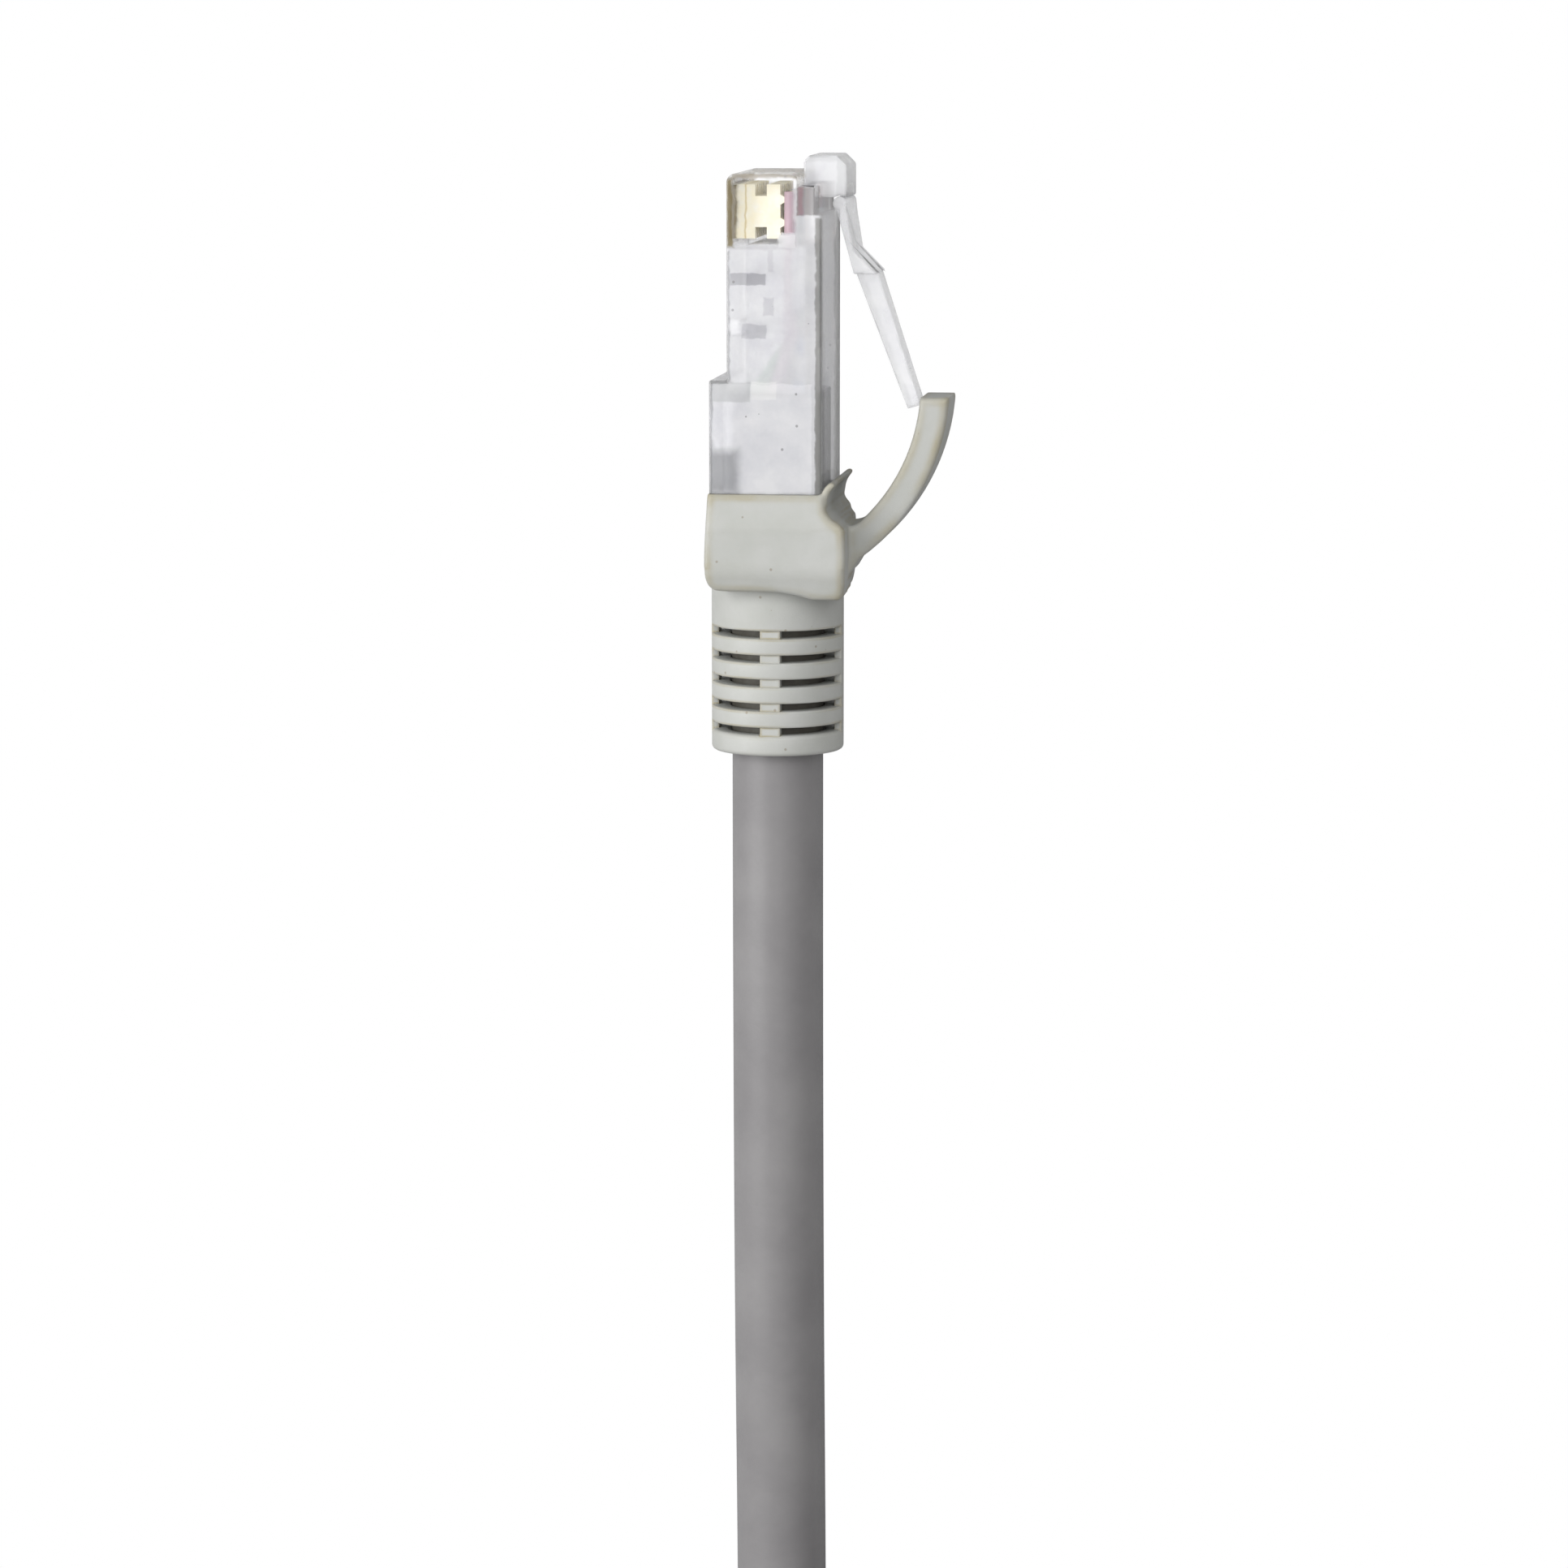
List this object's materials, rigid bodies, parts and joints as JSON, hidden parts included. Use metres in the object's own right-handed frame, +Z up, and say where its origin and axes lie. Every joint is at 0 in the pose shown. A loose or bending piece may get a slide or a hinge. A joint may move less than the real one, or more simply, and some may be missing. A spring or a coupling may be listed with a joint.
{
  "type": "network patch cable",
  "caption": "Network patch cable with a clear latching modular plug and a moulded snagless boot at each end of a round grey cable, the spare length tied in a coil.",
  "frame": {"origin": "on the ground under the middle of plug A and its boot, which lie on their side", "axes": "+X toward plug A's latch, +Y toward plug A's nose, +Z up, across the plug's width"},
  "size_m": [0.0853, 0.1816, 0.0265],
  "materials": {
    "plug_clear": "clear polycarbonate, slightly milky",
    "contact_gold": "thin gold plating over bronze",
    "boot_grey": "soft moulded vinyl, pale warm grey",
    "jacket_grey": "satin extruded vinyl, mid grey",
    "spline_white": "white polyethylene",
    "copper": "bare drawn copper",
    "tie_black": "black hook-and-loop cloth strap",
    "wire_white_orange": "extruded polyethylene insulation",
    "wire_orange": "extruded polyethylene insulation",
    "wire_white_green": "extruded polyethylene insulation",
    "wire_blue": "extruded polyethylene insulation",
    "wire_white_blue": "extruded polyethylene insulation",
    "wire_green": "extruded polyethylene insulation",
    "wire_white_brown": "extruded polyethylene insulation",
    "wire_brown": "extruded polyethylene insulation"
  },
  "bodies": {
    "cable": {"plug_a_housing": "plug_clear", "boot_a": "boot_grey", "plug_a_load_bar": "plug_clear", "plug_a_conductor_clamp": "plug_clear", "plug_a_jacket_clamp": "plug_clear", "plug_a_contact_1": "contact_gold", "plug_a_contact_2": "contact_gold", "plug_a_contact_3": "contact_gold", "plug_a_contact_4": "contact_gold", "plug_a_contact_5": "contact_gold", "plug_a_contact_6": "contact_gold", "plug_a_contact_7": "contact_gold", "plug_a_contact_8": "contact_gold", "cable_end_a_conductor_1": "wire_white_orange", "cable_end_a_conductor_2": "wire_orange", "cable_end_a_conductor_3": "wire_white_green", "cable_end_a_conductor_4": "wire_blue", "cable_end_a_conductor_5": "wire_white_blue", "cable_end_a_conductor_6": "wire_green", "cable_end_a_conductor_7": "wire_white_brown", "cable_end_a_conductor_8": "wire_brown", "cable_end_a_copper_cores": "copper", "cable_end_a_jacket": "jacket_grey", "cable_end_a_cross_spline": "spline_white", "plug_b_housing": "plug_clear", "boot_b": "boot_grey", "plug_b_load_bar": "plug_clear", "plug_b_conductor_clamp": "plug_clear", "plug_b_jacket_clamp": "plug_clear", "plug_b_contacts": "contact_gold", "cable_end_b_conductor_1": "wire_white_orange", "cable_end_b_conductor_2": "wire_orange", "cable_end_b_conductor_3": "wire_white_green", "cable_end_b_conductor_4": "wire_blue", "cable_end_b_conductor_5": "wire_white_blue", "cable_end_b_conductor_6": "wire_green", "cable_end_b_conductor_7": "wire_white_brown", "cable_end_b_conductor_8": "wire_brown", "cable_end_b_copper_cores": "copper", "cable_end_b_jacket": "jacket_grey", "cable_end_b_cross_spline": "spline_white", "cable_run": "jacket_grey", "cable_tail": "jacket_grey", "cable_coil": "jacket_grey", "coil_tie": "tie_black"},
    "arm_a": {"boot_a_arm": "boot_grey"},
    "latch_a": {"plug_a_latch": "plug_clear"},
    "arm_b": {"boot_b_arm": "boot_grey"},
    "latch_b": {"plug_b_latch": "plug_clear"}
  },
  "joints": [
    {"name": "boot_arm_a_press", "type": "hinge", "parent": "cable", "child": "arm_a", "pos_m": [0.00158, -0.0059, 0.0065], "axis": [0, 0, 1], "range_deg": [0, 19], "stiffness_Nm_per_rad": 0.02},
    {"name": "latch_a_press", "type": "hinge", "parent": "cable", "child": "latch_a", "pos_m": [0.00069, 0.01765, 0.0065], "axis": [0, 0, 1], "range_deg": [-14.1, 0], "stiffness_Nm_per_rad": 0.01},
    {"name": "boot_arm_b_press", "type": "hinge", "parent": "cable", "child": "arm_b", "pos_m": [0.04967, -0.1411, 0.02], "axis": [0, 0, -1], "range_deg": [0, 19], "stiffness_Nm_per_rad": 0.02},
    {"name": "latch_b_press", "type": "hinge", "parent": "cable", "child": "latch_b", "pos_m": [0.07322, -0.14198, 0.02], "axis": [0, 0, -1], "range_deg": [-14.1, 0], "stiffness_Nm_per_rad": 0.01}
  ],
  "couplings": [
    {"joint": "latch_a_press", "follows": "boot_arm_a_press", "ratio": -0.74},
    {"joint": "latch_b_press", "follows": "boot_arm_b_press", "ratio": -0.74}
  ]
}
